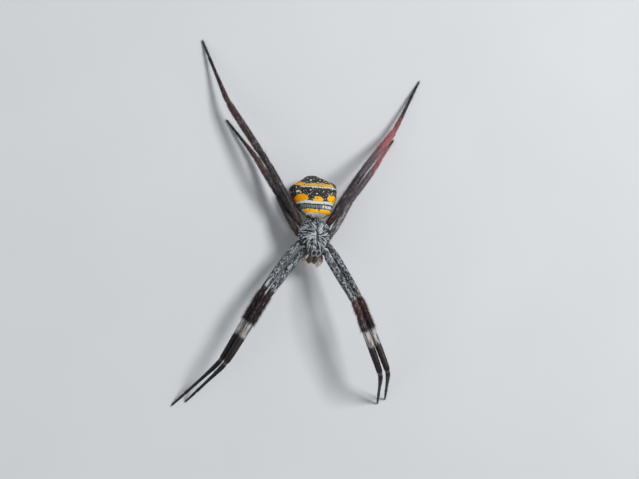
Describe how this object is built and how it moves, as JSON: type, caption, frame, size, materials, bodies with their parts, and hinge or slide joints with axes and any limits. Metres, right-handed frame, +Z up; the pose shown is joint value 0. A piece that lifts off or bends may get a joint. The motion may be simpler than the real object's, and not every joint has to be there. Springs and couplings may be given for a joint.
{
  "type": "orb weaver spider",
  "caption": "Life-size still model of a female orb weaver spider: silver-haired front body, yellow-banded pentagonal abdomen, long legs held in pairs as an X.",
  "frame": {"origin": "on the floor, under the middle of the spider's box, legs included", "axes": "+Z up, -Y towards the head, +Y towards the tail, +X towards the spider's left"},
  "size_m": [0.027, 0.0414, 0.0069],
  "materials": {
    "silver_hair": "short silvery hair lying flat over a dark shell",
    "banded_abdomen": "satin skin in yellow, white and dark brown bands with fine hair",
    "mottled_leg": "grey and black mottled skin with fine bristles",
    "dark_leg": "dark brown satin skin with fine bristles and a white ring",
    "jaw": "smooth brown shell",
    "feeler": "pale, thinly haired",
    "underside": "dark, thinly haired",
    "eye": "glossy black"
  },
  "bodies": {
    "root": {"abdomen": "banded_abdomen", "carapace": "silver_hair", "chelicera_left": "jaw", "chelicera_right": "jaw", "eye_front_middle_left": "eye", "eye_front_middle_right": "eye", "eye_front_side_left": "eye", "eye_front_side_right": "eye", "eye_rear_middle_left": "eye", "eye_rear_middle_right": "eye", "eye_rear_side_left": "eye", "eye_rear_side_right": "eye", "fang_left": "jaw", "fang_right": "jaw", "leg_1_left_coxa": "dark_leg", "leg_1_left_femur": "mottled_leg", "leg_1_left_metatarsus": "dark_leg", "leg_1_left_tarsus": "dark_leg", "leg_1_left_tibia": "dark_leg", "leg_1_right_coxa": "dark_leg", "leg_1_right_femur": "mottled_leg", "leg_1_right_metatarsus": "dark_leg", "leg_1_right_tarsus": "dark_leg", "leg_1_right_tibia": "dark_leg", "leg_2_left_coxa": "dark_leg", "leg_2_left_femur": "mottled_leg", "leg_2_left_metatarsus": "dark_leg", "leg_2_left_tarsus": "dark_leg", "leg_2_left_tibia": "dark_leg", "leg_2_right_coxa": "dark_leg", "leg_2_right_femur": "mottled_leg", "leg_2_right_metatarsus": "dark_leg", "leg_2_right_tarsus": "dark_leg", "leg_2_right_tibia": "dark_leg", "leg_3_left_coxa": "dark_leg", "leg_3_left_femur": "mottled_leg", "leg_3_left_metatarsus": "dark_leg", "leg_3_left_tarsus": "dark_leg", "leg_3_left_tibia": "dark_leg", "leg_3_right_coxa": "dark_leg", "leg_3_right_femur": "mottled_leg", "leg_3_right_metatarsus": "dark_leg", "leg_3_right_tarsus": "dark_leg", "leg_3_right_tibia": "dark_leg", "leg_4_left_coxa": "dark_leg", "leg_4_left_femur": "mottled_leg", "leg_4_left_metatarsus": "dark_leg", "leg_4_left_tarsus": "dark_leg", "leg_4_left_tibia": "dark_leg", "leg_4_right_coxa": "dark_leg", "leg_4_right_femur": "mottled_leg", "leg_4_right_metatarsus": "dark_leg", "leg_4_right_tarsus": "dark_leg", "leg_4_right_tibia": "dark_leg", "pedicel": "underside", "pedipalp_left": "feeler", "pedipalp_right": "feeler", "spinnerets": "underside", "sternum": "underside"}
  },
  "joints": []
}
